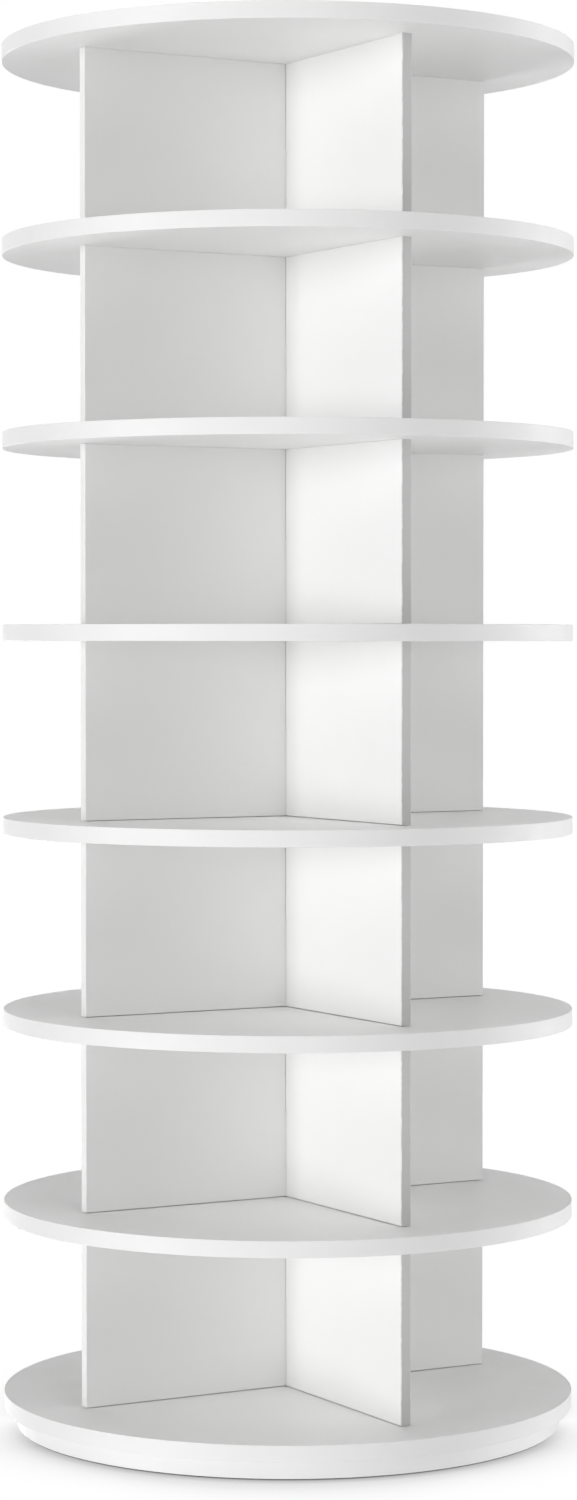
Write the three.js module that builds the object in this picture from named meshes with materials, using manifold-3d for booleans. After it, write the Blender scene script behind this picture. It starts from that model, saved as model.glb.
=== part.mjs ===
import * as THREE from 'three';
import { mergeVertices } from 'three/addons/utils/BufferGeometryUtils.js';
import Module from 'manifold-3d';

// Rotating shoe tower. Eight round shelves are held apart by crossed dividers, and the whole
// stack turns on a ball bearing ring that is let into a fixed round plinth.
// Millimetres, +Z up, origin on the floor under the turning axis, dividers along X and Y.

const wasm = await Module();
wasm.setup();

// Shelves and dividers
const tierCount = 7;
const discDiameter = 600;
const discThickness = 17;
const tierHeight = 184.5;
const dividerThickness = 11;
const dividerSetback = 59;

// Plinth and its feet
const plinthSetback = 13.5;
const plinthThickness = 17;
const footCount = 6;
const footDiameter = 40;
const footThickness = 2;
const runningGap = 2;

// Bearing ring: each half is a groove for the balls and a solid land for the fasteners
const ballPitchDiameter = 260;
const ringLand = 16;
const ballDiameter = 5;
const ballCount = 16;
const raceGap = 2.4;
const ringStep = 1;
const cageThickness = 1.2;
const cageHeight = 3;
const ringBoltCount = 4;
const ringScrewCount = 4;
const accessHoleDiameter = 12;

// Fastenings: length from the head's face to the tip
const dowelDiameter = 6;
const dowelReach = 10;
const shelfScrew = { length: 45, shankDiameter: 4, headDiameter: 8, tipLength: 4 };
const ringScrew = { length: 18, shankDiameter: 3.5, headDiameter: 7, tipLength: 3 };
const ringBolt = { length: 15, shankDiameter: 4, headDiameter: 8, tipLength: 0.5 };
const headRimHeight = 0.4;
const capDiameter = 12;
const capThickness = 2;
const capBevel = 0.4;

// Clearances
const fitGap = 0.3;
const pocketGap = 2;
const overrun = 1;

// Shares of the piece that carries each feature
const highDowelShare = 0.7;
const lowDowelShare = 0.55;
const topScrewShare = 0.45;
const bottomScrewShare = 0.8;
const footCircleShare = 0.84;
const ringHeightShare = 1.5;
const recessSpanShare = 0.5;
const recessWidthShare = 0.12;
const recessDepthShare = 0.2;

// Facets round the turned pieces
const discSegments = 96;
const ringSegments = 60;
const footSegments = 24;
const smallSegments = 12;
const dowelSegments = 8;
const ballSegments = 8;
const ballRings = 6;

// Radii that follow
const discRadius = discDiameter / 2;
const plinthRadius = discRadius - plinthSetback;
const armLength = discRadius - dividerSetback;
const ballRadius = ballDiameter / 2;
const pitchRadius = ballPitchDiameter / 2;
const grooveReach = (ballRadius + fitGap) * Math.SQRT2;
const ringInnerRadius = pitchRadius - grooveReach - ringLand;
const ringOuterRadius = pitchRadius + grooveReach + ringLand;
const ringScrewCircle = ringInnerRadius + ringLand / 2;
const ringBoltCircle = ringOuterRadius - ringLand / 2;
const highDowelCircle = armLength * highDowelShare;
const lowDowelCircle = armLength * lowDowelShare;
const topScrewCircle = armLength * topScrewShare;
const bottomScrewCircle = armLength * bottomScrewShare;

// Heights that follow
const plinthTop = footThickness + plinthThickness;
const bottomDiscBase = plinthTop + runningGap;
const tierPitch = discThickness + tierHeight;
const topDiscBase = bottomDiscBase + tierCount * tierPitch;
const ringHeight = ballDiameter * ringHeightShare;
const pocketDepth = ringHeight + ringStep - runningGap;
const lowerRingBase = plinthTop - pocketDepth;
const upperRingBase = lowerRingBase + ringStep;
const ballCentreHeight = lowerRingBase + (ringHeight + ringStep) / 2;

// Directions of the four arms of a cross, and of the two arms of one board
const armDirections = [[1, 0], [0, 1], [-1, 0], [0, -1]];
const boardDirections = [[1, 0], [-1, 0]];

// Turns of the round patterns about the axis
const ringBoltAngle = 0;
const ringScrewAngle = Math.PI / ringScrewCount;
const footAngle = Math.PI / footCount;

function finish(color, roughness, metalness) {
  return new THREE.MeshStandardMaterial({ color, roughness, metalness });
}

const whiteBoard = () => finish('#f1f0ed', 0.5, 0);
const whitePlastic = () => finish('#eceae6', 0.4, 0);
const aluminium = () => finish('#b9bcbf', 0.35, 1);
const steel = () => finish('#c4c4c0', 0.3, 1);
const rubber = () => finish('#3a3a3c', 0.9, 0);

// A round body about the Z axis from points of radius and height, listed from low to high.
function turned(points, segments) {
  const profile = points.map(([radius, height]) => new THREE.Vector2(radius, height));
  return new THREE.LatheGeometry(profile, segments).rotateX(Math.PI / 2);
}

function cylinder(radius, low, high, segments) {
  return turned([[0, low], [radius, low], [radius, high], [0, high]], segments);
}

function box(length, width, low, high) {
  return new THREE.BoxGeometry(length, width, high - low).translate(0, 0, (low + high) / 2);
}

function solid(geometry) {
  const bare = geometry.clone();
  bare.deleteAttribute('normal');
  bare.deleteAttribute('uv');
  const merged = mergeVertices(bare);
  const vertProperties = new Float32Array(merged.attributes.position.array);
  const triVerts = new Uint32Array(merged.index.array);
  return new wasm.Manifold(new wasm.Mesh({ numProp: 3, vertProperties, triVerts }));
}

function surface(body) {
  const mesh = body.getMesh();
  const geometry = new THREE.BufferGeometry();
  geometry.setAttribute('position', new THREE.BufferAttribute(mesh.vertProperties, 3));
  geometry.setIndex(new THREE.BufferAttribute(mesh.triVerts, 1));
  geometry.computeVertexNormals();
  return geometry;
}

// Points spaced evenly on a circle about the axis.
function around(count, radius, start) {
  return Array.from({ length: count }, (unused, index) => {
    const angle = start + (index * 2 * Math.PI) / count;
    return [radius * Math.cos(angle), radius * Math.sin(angle)];
  });
}

// One point on each arm, at the given distance from the axis.
function along(directions, reach) {
  return directions.map(([x, y]) => [x * reach, y * reach]);
}

function cutAt(body, tool, places) {
  let result = body;
  for (const [x, y] of places) {
    result = result.subtract(solid(tool.clone().translate(x, y, 0)));
  }
  return result;
}

function addAt(body, tool, places) {
  let result = body;
  for (const [x, y] of places) {
    result = result.add(solid(tool.clone().translate(x, y, 0)));
  }
  return result;
}

function place(name, geometry, material, [x, y, z]) {
  const mesh = new THREE.Mesh(geometry, material);
  mesh.name = name;
  mesh.position.set(x, y, z);
  return mesh;
}

// Countersunk screw, head face at height 0 and shank down, with a cross recess in the head.
function screw(size) {
  const headRadius = size.headDiameter / 2;
  const shankRadius = size.shankDiameter / 2;
  const headHeight = headRimHeight + headRadius - shankRadius;
  const body = solid(turned([
    [0, -size.length],
    [shankRadius, size.tipLength - size.length],
    [shankRadius, -headHeight],
    [headRadius, -headRimHeight],
    [headRadius, 0],
    [0, 0],
  ], smallSegments));
  const span = size.headDiameter * recessSpanShare;
  const width = size.headDiameter * recessWidthShare;
  const recess = box(span, width, -size.headDiameter * recessDepthShare, overrun);
  const across = recess.clone().rotateZ(Math.PI / 2);
  return surface(body.subtract(solid(recess)).subtract(solid(across)));
}

// The hole that takes such a screw: countersink, shank hole and the pilot down to its tip.
function screwHole(size) {
  const headRadius = size.headDiameter / 2 + fitGap;
  const shankRadius = size.shankDiameter / 2 + fitGap;
  const end = -size.length - fitGap;
  return turned([
    [0, end],
    [shankRadius, end],
    [shankRadius, shankRadius - headRadius - headRimHeight],
    [headRadius, -headRimHeight],
    [headRadius, overrun],
    [0, overrun],
  ], smallSegments);
}

// The same shapes with the head at the bottom and the shank up.
function turnedOver(geometry) {
  return geometry.rotateX(Math.PI);
}

function dowelHole(low, high) {
  return cylinder(dowelDiameter / 2 + fitGap, low, high, dowelSegments);
}

// Shelf disc with dowel holes for the cross above it and for the cross below it.
function plainDisc(crossAbove, crossBelow) {
  const depth = dowelReach + fitGap;
  let body = solid(cylinder(discRadius, 0, discThickness, discSegments));
  if (crossAbove) {
    const hole = dowelHole(discThickness - depth, discThickness + overrun);
    body = cutAt(body, hole, along(armDirections, lowDowelCircle));
  }
  if (crossBelow) {
    const hole = dowelHole(-overrun, depth);
    body = cutAt(body, hole, along(armDirections, highDowelCircle));
  }
  return body;
}

function bottomDisc() {
  const shelfHole = turnedOver(screwHole(shelfScrew)).translate(0, 0, fitGap);
  const ringHole = turnedOver(screwHole(ringScrew));
  ringHole.translate(0, 0, upperRingBase + fitGap - bottomDiscBase);
  let body = plainDisc(true, false);
  body = cutAt(body, shelfHole, along(armDirections, bottomScrewCircle));
  return cutAt(body, ringHole, around(ringScrewCount, ringScrewCircle, ringScrewAngle));
}

function topDisc() {
  const capSeat = discThickness - capThickness;
  const shelfHole = screwHole(shelfScrew).translate(0, 0, capSeat - fitGap);
  const capHole = cylinder(capDiameter / 2 + fitGap, capSeat, discThickness + overrun, smallSegments);
  const places = along(armDirections, topScrewCircle);
  return cutAt(cutAt(plainDisc(false, true), shelfHole, places), capHole, places);
}

// Divider board along X. Its slot takes the board that crosses it, open at the top or below.
function divider(tier, slotUp) {
  const slotWidth = dividerThickness + 2 * fitGap;
  const middle = tierHeight / 2;
  const slot = slotUp
    ? box(slotWidth, slotWidth, middle - fitGap / 2, tierHeight + overrun)
    : box(slotWidth, slotWidth, -overrun, middle + fitGap / 2);
  const highDowel = cylinder(
    dowelDiameter / 2, tierHeight - overrun, tierHeight + dowelReach, dowelSegments);
  const lowDowel = cylinder(dowelDiameter / 2, -dowelReach, overrun, dowelSegments);
  let body = solid(box(2 * armLength, dividerThickness, 0, tierHeight));
  body = body.subtract(solid(slot));
  body = addAt(body, highDowel, along(boardDirections, highDowelCircle));
  body = addAt(body, lowDowel, along(boardDirections, lowDowelCircle));
  if (tier === tierCount) {
    const hole = screwHole(shelfScrew);
    hole.translate(0, 0, tierHeight + discThickness - capThickness - fitGap);
    body = cutAt(body, hole, along(boardDirections, topScrewCircle));
  }
  if (tier === 1) {
    const hole = turnedOver(screwHole(shelfScrew)).translate(0, 0, fitGap - discThickness);
    body = cutAt(body, hole, along(boardDirections, bottomScrewCircle));
  }
  return surface(body);
}

function plinthBoard() {
  const pocketRadius = ringOuterRadius + pocketGap;
  const pocket = cylinder(
    pocketRadius, plinthThickness - pocketDepth, plinthThickness + overrun, ringSegments);
  const boltHole = turnedOver(screwHole(ringBolt)).translate(0, 0, fitGap);
  const accessHole = cylinder(
    accessHoleDiameter / 2, -overrun, plinthThickness + overrun, smallSegments);
  let body = solid(cylinder(plinthRadius, 0, plinthThickness, discSegments));
  body = body.subtract(solid(pocket));
  body = cutAt(body, boltHole, around(ringBoltCount, ringBoltCircle, ringBoltAngle));
  return surface(cutAt(body, accessHole, around(1, ringScrewCircle, ringScrewAngle)));
}

// Fixed outer ring, with the groove for the balls in its inner wall.
function lowerRing() {
  const wall = pitchRadius + raceGap / 2;
  const centre = ballCentreHeight - lowerRingBase;
  const rise = grooveReach - raceGap / 2;
  const body = solid(turned([
    [wall, 0],
    [ringOuterRadius, 0],
    [ringOuterRadius, ringHeight],
    [wall, ringHeight],
    [wall, centre + rise],
    [pitchRadius + grooveReach, centre],
    [wall, centre - rise],
    [wall, 0],
  ], ringSegments));
  const hole = cylinder(
    ringBolt.shankDiameter / 2 + fitGap, -overrun, ringHeight + overrun, smallSegments);
  return surface(cutAt(body, hole, around(ringBoltCount, ringBoltCircle, ringBoltAngle)));
}

// Turning inner ring, with the groove for the balls in its outer wall.
function upperRing() {
  const wall = pitchRadius - raceGap / 2;
  const centre = ballCentreHeight - upperRingBase;
  const rise = grooveReach - raceGap / 2;
  const body = solid(turned([
    [ringInnerRadius, 0],
    [wall, 0],
    [wall, centre - rise],
    [pitchRadius - grooveReach, centre],
    [wall, centre + rise],
    [wall, ringHeight],
    [ringInnerRadius, ringHeight],
    [ringInnerRadius, 0],
  ], ringSegments));
  const hole = turnedOver(screwHole(ringScrew)).translate(0, 0, fitGap);
  return surface(cutAt(body, hole, around(ringScrewCount, ringScrewCircle, ringScrewAngle)));
}

// Thin cage ring with its balls, centred on the height of the balls.
function ballCage() {
  const inner = pitchRadius - cageThickness / 2;
  const outer = pitchRadius + cageThickness / 2;
  const reach = cageHeight / 2;
  const ring = solid(turned([
    [inner, -reach],
    [outer, -reach],
    [outer, reach],
    [inner, reach],
    [inner, -reach],
  ], ringSegments));
  const ball = new THREE.SphereGeometry(ballRadius, ballSegments, ballRings);
  return surface(addAt(ring, ball, around(ballCount, pitchRadius, 0)));
}

function footPad() {
  return cylinder(footDiameter / 2, 0, footThickness, footSegments);
}

function screwCap() {
  const radius = capDiameter / 2;
  return turned([
    [0, 0],
    [radius, 0],
    [radius, capThickness - capBevel],
    [radius - capBevel, capThickness],
    [0, capThickness],
  ], smallSegments);
}

function base() {
  const group = new THREE.Group();
  group.add(place('plinth_board', plinthBoard(), whiteBoard(), [0, 0, footThickness]));
  around(footCount, plinthRadius * footCircleShare, footAngle).forEach(([x, y], index) => {
    group.add(place(`foot_pad_${index + 1}`, footPad(), rubber(), [x, y, 0]));
  });
  group.add(place('turntable_lower_ring', lowerRing(), aluminium(), [0, 0, lowerRingBase]));
  around(ringBoltCount, ringBoltCircle, ringBoltAngle).forEach(([x, y], index) => {
    const bolt = turnedOver(screw(ringBolt));
    group.add(place(`lower_ring_bolt_${index + 1}`, bolt, steel(), [x, y, footThickness + fitGap]));
  });
  return group;
}

function turntableTop() {
  const group = new THREE.Group();
  group.add(place('turntable_upper_ring', upperRing(), aluminium(), [0, 0, upperRingBase]));
  around(ringScrewCount, ringScrewCircle, ringScrewAngle).forEach(([x, y], index) => {
    const fastener = turnedOver(screw(ringScrew));
    const head = upperRingBase + fitGap;
    group.add(place(`upper_ring_screw_${index + 1}`, fastener, steel(), [x, y, head]));
  });
  return group;
}

function bottomShelf() {
  const group = new THREE.Group();
  group.position.z = bottomDiscBase;
  group.add(place('bottom_disc', surface(bottomDisc()), whiteBoard(), [0, 0, 0]));
  along(armDirections, bottomScrewCircle).forEach(([x, y], index) => {
    const fastener = turnedOver(screw(shelfScrew));
    group.add(place(`bottom_disc_screw_${index + 1}`, fastener, steel(), [x, y, fitGap]));
  });
  return group;
}

function topShelf() {
  const group = new THREE.Group();
  const capSeat = discThickness - capThickness;
  group.position.z = topDiscBase;
  group.add(place('top_disc', surface(topDisc()), whiteBoard(), [0, 0, 0]));
  along(armDirections, topScrewCircle).forEach(([x, y], index) => {
    const number = index + 1;
    const head = capSeat - fitGap;
    group.add(place(`top_disc_screw_${number}`, screw(shelfScrew), steel(), [x, y, head]));
    group.add(place(`top_disc_screw_cap_${number}`, screwCap(), whitePlastic(), [x, y, capSeat]));
  });
  return group;
}

// One pair of crossed dividers, standing on the disc below it.
function tierCross(tier) {
  const group = new THREE.Group();
  group.position.z = bottomDiscBase + discThickness + (tier - 1) * tierPitch;
  const along = place(`tier_${tier}_divider_slot_up`, divider(tier, true), whiteBoard(), [0, 0, 0]);
  const across = place(`tier_${tier}_divider_slot_down`, divider(tier, false), whiteBoard(), [0, 0, 0]);
  across.rotation.z = Math.PI / 2;
  group.add(along, across);
  return group;
}

function middleShelf(number) {
  const disc = surface(plainDisc(true, true));
  const height = bottomDiscBase + number * tierPitch;
  return place(`shelf_disc_${number}`, disc, whiteBoard(), [0, 0, height]);
}

const shoeTower = new THREE.Group();
shoeTower.add(base());
shoeTower.add(place('turntable_ball_cage', ballCage(), steel(), [0, 0, ballCentreHeight]));
shoeTower.add(turntableTop());
shoeTower.add(bottomShelf());
for (let tier = 1; tier <= tierCount; tier += 1) {
  shoeTower.add(tierCross(tier));
}
for (let number = 1; number < tierCount; number += 1) {
  shoeTower.add(middleShelf(number));
}
shoeTower.add(topShelf());

export default shoeTower;
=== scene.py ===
import math

import bmesh
import bpy
from mathutils import Matrix, Vector


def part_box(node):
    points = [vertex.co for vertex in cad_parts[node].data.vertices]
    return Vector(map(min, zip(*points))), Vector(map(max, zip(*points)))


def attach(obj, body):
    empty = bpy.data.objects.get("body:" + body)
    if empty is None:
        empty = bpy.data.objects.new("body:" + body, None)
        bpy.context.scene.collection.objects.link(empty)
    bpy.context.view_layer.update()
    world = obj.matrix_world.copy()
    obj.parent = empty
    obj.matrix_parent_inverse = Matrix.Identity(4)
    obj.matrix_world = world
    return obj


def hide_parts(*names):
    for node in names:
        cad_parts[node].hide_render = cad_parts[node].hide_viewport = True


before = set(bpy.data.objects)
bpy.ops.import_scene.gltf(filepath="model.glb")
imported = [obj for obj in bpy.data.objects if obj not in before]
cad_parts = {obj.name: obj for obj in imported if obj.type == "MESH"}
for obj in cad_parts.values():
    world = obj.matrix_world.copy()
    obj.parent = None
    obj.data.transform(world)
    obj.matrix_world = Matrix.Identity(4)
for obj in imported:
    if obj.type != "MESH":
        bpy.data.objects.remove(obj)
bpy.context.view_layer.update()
scene = bpy.context.scene
print("frame loaded,", len(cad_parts), "nodes")


# Camera

cameraView = {
    "turn": -29.5,          # degrees round the tower from the front, to the viewer's left
    "distance": 3.933,      # from the turning axis
    "height": 0.8287,
    "tilt": 1.700,          # degrees below level
    "focalPixels": 3725.6,  # the photograph's focal length, in its own pixels
    "photoHeight": 1500,
    "filmSide": 36.0,       # millimetres, along the photograph's long side
    "shiftX": 0.00040,
    "farClip": 60,
}


def placeCamera():
    turn = math.radians(cameraView["turn"])
    lens = bpy.data.cameras.new("photoCamera")
    lens.sensor_width = cameraView["filmSide"]
    lens.lens = cameraView["focalPixels"] * cameraView["filmSide"] / cameraView["photoHeight"]
    lens.shift_x = cameraView["shiftX"]
    lens.clip_end = cameraView["farClip"]
    camera = bpy.data.objects.new("photoCamera", lens)
    away = Vector((math.sin(turn), -math.cos(turn), 0)) * cameraView["distance"]
    camera.location = away + Vector((0, 0, cameraView["height"]))
    camera.rotation_euler = (math.radians(90 - cameraView["tilt"]), 0, turn)
    scene.collection.objects.link(camera)
    scene.camera = camera


placeCamera()
print("camera placed")


# Shader building blocks

# Where a mix node keeps its colour inputs and its colour output
mixColours = (6, 7)
mixResult = 2


def feed(tree, socket, value):
    # Links the socket to another node's output, or sets it to a plain value
    if isinstance(value, bpy.types.NodeSocket):
        tree.links.new(value, socket)
    else:
        socket.default_value = value


def addMath(tree, operation, first, second, clamp=False):
    node = tree.nodes.new("ShaderNodeMath")
    node.operation = operation
    node.use_clamp = clamp
    for socket, value in zip(node.inputs, (first, second)):
        feed(tree, socket, value)
    return node.outputs[0]


def addNoise(tree, scale, detail, coordinates):
    noise = tree.nodes.new("ShaderNodeTexNoise")
    for label, value in (("Scale", scale), ("Detail", detail), ("Vector", coordinates)):
        feed(tree, noise.inputs[label], value)
    return noise.outputs["Fac"]


def addRange(tree, value, low, high, toLow, toHigh):
    node = tree.nodes.new("ShaderNodeMapRange")
    limits = {"Value": value, "From Min": low, "From Max": high, "To Min": toLow, "To Max": toHigh}
    for label, limit in limits.items():
        feed(tree, node.inputs[label], limit)
    return node.outputs["Result"]


def addMix(tree, factor, first, second):
    node = tree.nodes.new("ShaderNodeMix")
    node.data_type = "RGBA"
    sockets = [node.inputs["Factor"]] + [node.inputs[place] for place in mixColours]
    for socket, value in zip(sockets, (factor, first, second)):
        feed(tree, socket, value)
    return node.outputs[mixResult]


def addShaderMix(tree, factor, first, second):
    node = tree.nodes.new("ShaderNodeMixShader")
    for socket, value in zip(node.inputs, (factor, first, second)):
        feed(tree, socket, value)
    return node.outputs[0]


def addPoint(tree):
    return tree.nodes.new("ShaderNodeTexCoord").outputs["Object"]


# Studio: floor, world and lamps

studio = {
    "floorSize": 30.0,
    "floorTone": 0.9,
    "floorLift": 0.9,       # share of the floor's look that is even white, over the lamps' light
    "floorWhite": 1.07,     # strength of that white where nothing darkens it
    "contactReach": 0.26,   # how far out from the plinth it darkens, in metres
    "contactFade": 0.5,     # power of that darkening, higher is darker
    "contactSamples": 16,
    "sideReach": 0.05,      # the photograph darkens less beside the plinth: the reach there,
    "sideFade": 0.1,        # the share of the power, and how far round it takes to recover
    "sideWidth": 0.45,
    "worldLight": 0.12,
}

# Lamps so far off that every tier gets the same light; spread is how wide each looks, in degrees
lampRig = {
    "leftSoftbox": {"turn": -90, "rise": 0, "spread": 20, "strength": 1.39},
    "leftUpperSoftbox": {"turn": -90, "rise": 40, "spread": 40, "strength": 0.3},
    "leftLowerSoftbox": {"turn": -90, "rise": -30, "spread": 40, "strength": 0.46},
    "frontSoftbox": {"turn": -30, "rise": 0, "spread": 50, "strength": 0.56},
    "frontUpperSoftbox": {"turn": 0, "rise": 40, "spread": 40, "strength": 0.38},
    "frontLowerSoftbox": {"turn": 0, "rise": -40, "spread": 40, "strength": 0.62},
    "frontUnderSoftbox": {"turn": 0, "rise": -70, "spread": 40, "strength": 0.49},
    "rightFrontSoftbox": {"turn": 60, "rise": 0, "spread": 50, "strength": 0.62},
    "rightSoftbox": {"turn": 90, "rise": 0, "spread": 20, "strength": 0.96},
    "overheadSoftbox": {"turn": 0, "rise": 90, "spread": 40, "strength": 0.5},
    "backSoftbox": {"turn": 180, "rise": -20, "spread": 20, "strength": 1.0},
}


def seenDirectly(tree):
    # 1 for what the camera, a mirror or glass looks at, 0 for light on its way to a surface
    rays = tree.nodes.new("ShaderNodeLightPath").outputs
    seen = addMath(tree, "MAXIMUM", rays["Is Camera Ray"], rays["Is Glossy Ray"], clamp=True)
    return addMath(tree, "MAXIMUM", seen, rays["Is Transmission Ray"], clamp=True)


def addWhite(tree, strength):
    node = tree.nodes.new("ShaderNodeBackground")
    node.inputs["Color"].default_value = (1, 1, 1, 1)
    node.inputs["Strength"].default_value = strength
    return node.outputs[0]


def makeWorld():
    # White where it is looked at; as light it has only the strength in worldLight
    world = bpy.data.worlds.new("studioWorld")
    world.use_nodes = True
    tree = world.node_tree
    tree.nodes.clear()
    light = addWhite(tree, studio["worldLight"])
    backdrop = addWhite(tree, 1)
    look = addShaderMix(tree, seenDirectly(tree), light, backdrop)
    out = tree.nodes.new("ShaderNodeOutputWorld")
    tree.links.new(look, out.inputs["Surface"])
    scene.world = world


def contactWhite(tree):
    # Strength of the floor's white, with a painted contact shadow: darker near the plinth, less at its
    # sides than before and behind it
    turn = math.radians(cameraView["turn"])
    fromAxis = tree.nodes.new("ShaderNodeVectorMath")
    fromAxis.operation = "NORMALIZE"
    tree.links.new(addPoint(tree), fromAxis.inputs[0])
    ahead = tree.nodes.new("ShaderNodeVectorMath")
    ahead.operation = "DOT_PRODUCT"
    ahead.inputs[1].default_value = (math.sin(turn), -math.cos(turn), 0)
    tree.links.new(fromAxis.outputs[0], ahead.inputs[0])
    toFront = addMath(tree, "ABSOLUTE", ahead.outputs["Value"], 0)
    contact = tree.nodes.new("ShaderNodeAmbientOcclusion")
    contact.samples = studio["contactSamples"]
    reach = addRange(tree, toFront, 0, 1, studio["sideReach"], studio["contactReach"])
    tree.links.new(reach, contact.inputs["Distance"])
    fade = studio["contactFade"]
    fading = addRange(tree, toFront, 0, studio["sideWidth"], fade * studio["sideFade"], fade)
    # A painted contact shadow: ambient occlusion dims the floor's white
    faded = addMath(tree, "POWER", contact.outputs["AO"], fading)
    return addMath(tree, "MULTIPLY", faded, studio["floorWhite"])


def floorMaterial():
    material = bpy.data.materials.new("studioFloor")
    material.use_nodes = True
    tree = material.node_tree
    tree.nodes.clear()
    tone = studio["floorTone"]
    matt = tree.nodes.new("ShaderNodeBsdfDiffuse")
    matt.inputs["Color"].default_value = (tone, tone, tone, 1)
    even = tree.nodes.new("ShaderNodeEmission")
    tree.links.new(contactWhite(tree), even.inputs["Strength"])
    share = addMath(tree, "MULTIPLY", seenDirectly(tree), studio["floorLift"])
    look = addShaderMix(tree, share, matt.outputs[0], even.outputs[0])
    out = tree.nodes.new("ShaderNodeOutputMaterial")
    tree.links.new(look, out.inputs["Surface"])
    return material


def makeFloor():
    half = studio["floorSize"] / 2
    mesh = bpy.data.meshes.new("studioFloor")
    corners = [(-half, -half, 0), (half, -half, 0), (half, half, 0), (-half, half, 0)]
    mesh.from_pydata(corners, [], [(0, 1, 2, 3)])
    mesh.materials.append(floorMaterial())
    floor = bpy.data.objects.new("studioFloor", mesh)
    scene.collection.objects.link(floor)
    floor.visible_diffuse = False   # so lamps below the floor's level light the tower too
    floor.visible_shadow = False


def hangLamp(name, lamp):
    turn = math.radians(lamp["turn"])
    rise = math.radians(lamp["rise"])
    toLamp = Vector((
        math.sin(turn) * math.cos(rise),
        -math.cos(turn) * math.cos(rise),
        math.sin(rise),
    ))
    data = bpy.data.lights.new(name, "SUN")
    data.energy = lamp["strength"]
    data.angle = math.radians(lamp["spread"])
    softbox = bpy.data.objects.new(name, data)
    softbox.rotation_euler = toLamp.to_track_quat("Z", "Y").to_euler()
    scene.collection.objects.link(softbox)


scene.view_settings.view_transform = "Standard"
makeWorld()
makeFloor()
for lampName, lamp in lampRig.items():
    hangLamp(lampName, lamp)
print("studio lit")


# How many of each repeated piece, and sizes read from the frame

shelfDiscCount = 6
padCount = 6
screwCount = 4     # of each kind of screw or bolt, and of the caps


def numbered(prefix, count):
    return [f"{prefix}_{number}" for number in range(1, count + 1)]


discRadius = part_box("bottom_disc")[1].x
discNames = ["bottom_disc"] + numbered("shelf_disc", shelfDiscCount) + ["top_disc"]
tierCount = len(discNames) - 1
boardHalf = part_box("tier_1_divider_slot_up")[1].x
boardThickness = 2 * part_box("tier_1_divider_slot_up")[1].y


# Shader groups that several finishes share

skinOutputs = ("Color", "Roughness", "Height")
maskOutput = ("Mask",)

# Noise scales, noise details and the span of each noise that is used, for the groups below
pearlForm = {
    "cloudDetail": 3, "cloudRange": (0.35, 0.75),
    "pearlDetail": 2, "speckRange": (0.62, 0.78), "speckShare": 0.35,
    "smearScale": 38, "smearDetail": 4, "smearRange": (0.3, 0.7),
    "waveScale": 85, "waveDetail": 1, "waveShare": 0.6,
}
wearAndHighlightForm = {"patchDetail": 4, "patchRange": (0.42, 0.68)}
dustForm = {
    "upwardRange": (0.7, 1),
    "driftDetail": 3, "driftRange": (0.35, 0.8), "thinDrift": 0.2,
    "fleckScale": 1500, "fleckDetail": 1, "fleckRange": (0.6, 0.72), "thinFleck": 0.35,
}
turnedForm = {
    "markDetail": 2, "markRange": (0.3, 0.7),
    "bloomScale": 45, "bloomDetail": 4, "bloomRange": (0.4, 0.7),
}


def newGroup(name, inputs, outputs):
    # A socket whose name ends in Tone or Color carries a colour, any other a number
    group = bpy.data.node_groups.new(name, "ShaderNodeTree")
    for way, labels in (("INPUT", inputs), ("OUTPUT", outputs)):
        for label in labels:
            kind = "NodeSocketColor" if label.endswith(("Tone", "Color")) else "NodeSocketFloat"
            group.interface.new_socket(label, in_out=way, socket_type=kind)
    return group, group.nodes.new("NodeGroupInput").outputs, group.nodes.new("NodeGroupOutput").inputs


def makePearlGroup():
    # Pressed foil or moulded skin: cloudy tone, a fine pearl in the surface, patchy sheen
    inputs = ("Tone", "Cloud Tone", "Cloud Scale", "Pearl Scale", "Dull", "Shiny")
    group, given, result = newGroup("pearlSkin", inputs, skinOutputs)
    point = addPoint(group)
    cloud = addNoise(group, given["Cloud Scale"], pearlForm["cloudDetail"], point)
    pearl = addNoise(group, given["Pearl Scale"], pearlForm["pearlDetail"], point)
    smear = addNoise(group, pearlForm["smearScale"], pearlForm["smearDetail"], point)
    wave = addNoise(group, pearlForm["waveScale"], pearlForm["waveDetail"], point)
    clouded = addRange(group, cloud, *pearlForm["cloudRange"], 0, 1)
    speck = addRange(group, pearl, *pearlForm["speckRange"], 0, pearlForm["speckShare"])
    tone = addMix(group, clouded, given["Tone"], given["Cloud Tone"])
    tone = addMix(group, speck, tone, given["Cloud Tone"])
    sheen = addRange(group, smear, *pearlForm["smearRange"], given["Shiny"], given["Dull"])
    relief = addMath(group, "ADD", pearl, addMath(group, "MULTIPLY", wave, pearlForm["waveShare"]))
    group.links.new(tone, result["Color"])
    group.links.new(sheen, result["Roughness"])
    group.links.new(relief, result["Height"])
    return group


def makeWearAndHighlightGroup():
    # Where handling rubs a rounded edge, with a painted highlight along it on the edge bands: the faces
    # marked as edge, broken up by noise
    group, given, result = newGroup("edgeWearAndHighlight", ("Amount", "Patch Scale"), maskOutput)
    edge = group.nodes.new("ShaderNodeAttribute")
    edge.attribute_name = "edge"
    patch = addNoise(group, given["Patch Scale"], wearAndHighlightForm["patchDetail"], addPoint(group))
    patch = addRange(group, patch, *wearAndHighlightForm["patchRange"], 0, 1)
    mask = addMath(group, "MULTIPLY", edge.outputs["Fac"], patch)
    mask = addMath(group, "MULTIPLY", mask, given["Amount"], clamp=True)
    group.links.new(mask, result["Mask"])
    return group


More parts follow.
